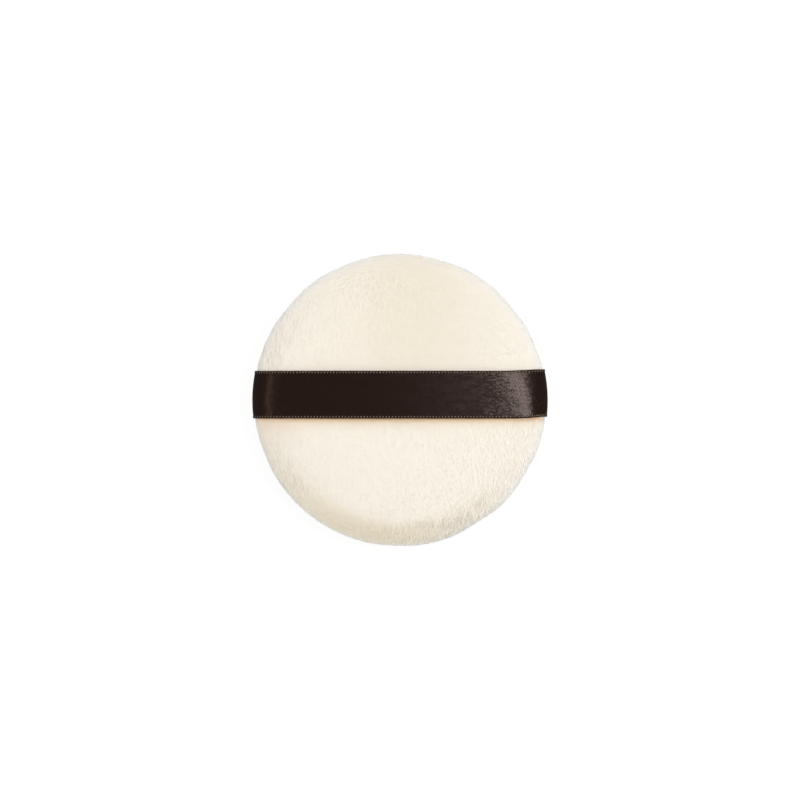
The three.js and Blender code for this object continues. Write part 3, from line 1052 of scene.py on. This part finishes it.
def add_thread(name, node_name, points, material):
    """A thread along its points, in the place of its node."""
    mesh = bpy.data.meshes.new(name)
    mesh.from_pydata(points, [(i, i + 1) for i in range(len(points) - 1)], [])
    mesh = made_by(
        thread_tree(material), mesh,
        {"Diameter": thread_diameter, "Pitch": ply_pitch, "Step": thread_step},
    )
    piece = add_piece(name, mesh, material, "puff")
    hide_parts(node_name)


gap_half = gap_length / 2 / stitch_radius
gap_first = math.ceil((gap_middle - gap_half) / stitch_turn - 1 / 2)
gap_last = math.floor((gap_middle + gap_half) / stitch_turn - 1 / 2)
hand_angles = [(i + 1 / 2) * stitch_turn for i in range(gap_first, gap_last + 1)]
machine_angles = [
    (i + 1 / 2) * stitch_turn for i in range(gap_last + 1, gap_first + stitch_places)
]
cream_thread = thread_material("Cream spun polyester thread", cream_yarn)
dark_thread = thread_material("Dark spun polyester thread", dark_yarn)
for name, node_name, side in (
    ("needle_thread", "seam_needle_thread", 1), ("bobbin_thread", "seam_bobbin_thread", -1),
):
    add_thread(name, node_name, lockstitch(machine_angles, side), cream_thread)
holes = [seam_point(angle, 0, 0) for angle in hand_angles]
ways = [(-math.sin(angle), math.cos(angle)) for angle in hand_angles]
add_thread("closing_thread", "closing_stitches", running(holes, ways), cream_thread)
for name, node_name, side in (
    ("right_tack_thread", "right_ribbon_tack", 1), ("left_tack_thread", "left_ribbon_tack", -1),
):
    middle = ribbon_offset + (ribbon_sweep if side > 0 else 0)
    holes = [
        (side * (cover_radius - tack_inset), middle + (i - tack_stitches / 2) * tack_stitch)
        for i in range(tack_stitches + 1)
    ]
    path = running(holes, [(0, 1)] * len(holes))
    add_thread(name, node_name, path, dark_thread)


# Table, lamps and camera
# A white table under a soft lamp on the right, a wide one overhead and a weak one on the
# left, seen straight down.
frame_width = 216.07 * mm  # what the picture shows at the height of the seam
frame_lift = 0.07 * mm  # of the middle of the picture over the middle of the puff
camera_lens = 100
camera_sensor = 36
paper_grey, paper_grey_in_gloss = 0.85, 0.07
paper_glow = 1.05
glow_share = 0.85  # of what the camera sees of the paper, where the rest is lit and shaded

bpy.ops.mesh.primitive_plane_add(size=4)
table = bpy.context.object
table.name = "table"


def table_material():
    """White paper: pure white to the eye, with only a trace of the puff's shadow."""
    material, tree, main = shader("White paper")
    glossy = add(tree, "ShaderNodeLightPath", output="Is Glossy Ray")
    tone = add(
        tree, "ShaderNodeMapRange",
        {"Value": glossy, "To Min": paper_grey, "To Max": paper_grey_in_gloss},
    )
    feed(main, {"Base Color": tone, "Roughness": 0.9})
    glow = add(tree, "ShaderNodeEmission", {"Color": (1, 1, 1, 1), "Strength": paper_glow})
    seen = add(tree, "ShaderNodeLightPath", output="Is Camera Ray")
    seen = add(tree, "ShaderNodeMath", [seen, glow_share], operation="MULTIPLY")
    surface = add(tree, "ShaderNodeMixShader", [seen, main.outputs["BSDF"], glow])
    end = [n for n in tree.nodes if n.type == "OUTPUT_MATERIAL"][0]
    feed(end, {"Surface": surface})
    return material


table.data.materials.append(table_material())


def add_lamp(name, azimuth, tilt, distance, size, power, tint):
    """A square soft lamp aimed at the puff: azimuth from +X, tilt from straight overhead."""
    lamp = bpy.data.lights.new(name, "AREA")
    lamp.size = size
    lamp.energy = power
    lamp.color = linear(tint)[:3]
    holder = bpy.data.objects.new(name, lamp)
    bpy.context.scene.collection.objects.link(holder)
    azimuth, tilt = math.radians(azimuth), math.radians(tilt)
    holder.location = (
        distance * math.sin(tilt) * math.cos(azimuth),
        distance * math.sin(tilt) * math.sin(azimuth),
        distance * math.cos(tilt),
    )
    holder.rotation_euler = (0, tilt, azimuth)
    return holder


add_lamp("key lamp", azimuth=12, tilt=27.5, distance=1, size=0.32, power=3.25, tint="#fffdfa")
add_lamp("side lamp", azimuth=180, tilt=43.5, distance=1, size=0.14, power=0.31, tint="#ffd8c8")
overhead = add_lamp(
    "overhead lamp", azimuth=85, tilt=14, distance=1, size=0.8, power=2.15, tint="#fffdfa"
)
overhead.visible_glossy = False

# The room: pale walls, a little paler on the side away from the window, and a dim ceiling
near_wall_light = 1.25
far_wall_light = 1.5
ceiling_light = 0.35
reflected_light = 0.1
window_way = (0.8, 0.6, 0)
ceiling_start = 0.9  # how far up, as a share of straight up, a look meets the ceiling

world = bpy.data.worlds.new("Studio")
bpy.context.scene.world = world
world.use_nodes = True
tree = world.node_tree
room = tree.nodes["Background"]
way = add(tree, "ShaderNodeTexCoord", output="Generated")
up = add(tree, "ShaderNodeSeparateXYZ", {"Vector": way}, "Z")
facing = add(tree, "ShaderNodeVectorMath", [way, window_way], "Value", operation="DOT_PRODUCT")
side = add(
    tree, "ShaderNodeMapRange",
    {"Value": facing, "From Min": -1.0, "To Min": far_wall_light, "To Max": near_wall_light},
)
walls = add(
    tree, "ShaderNodeMapRange",
    {"Value": up, "From Max": ceiling_start, "To Min": side, "To Max": ceiling_light},
)
glossy = add(tree, "ShaderNodeLightPath", output="Is Glossy Ray")
dull = add(
    tree, "ShaderNodeMapRange", {"Value": glossy, "To Min": walls, "To Max": reflected_light}
)
seen = add(tree, "ShaderNodeLightPath", output="Is Camera Ray")
strength = add(tree, "ShaderNodeMapRange", {"Value": seen, "To Min": dull, "To Max": 1.0})
feed(room, {"Color": (1, 1, 1, 1), "Strength": strength})

lens = bpy.data.cameras.new("camera")
lens.lens = camera_lens
lens.sensor_width = camera_sensor
lens.sensor_fit = "HORIZONTAL"
camera = bpy.data.objects.new("camera", lens)
bpy.context.scene.collection.objects.link(camera)
camera.location = (0, frame_lift, seam_z + frame_width * camera_lens / camera_sensor)
bpy.context.scene.camera = camera
bpy.context.scene.view_settings.view_transform = "Standard"
# Otherwise the denoiser takes the weave and the selvedge loops, two pixels wide, for noise
bpy.context.scene.cycles.denoising_prefilter = "NONE"
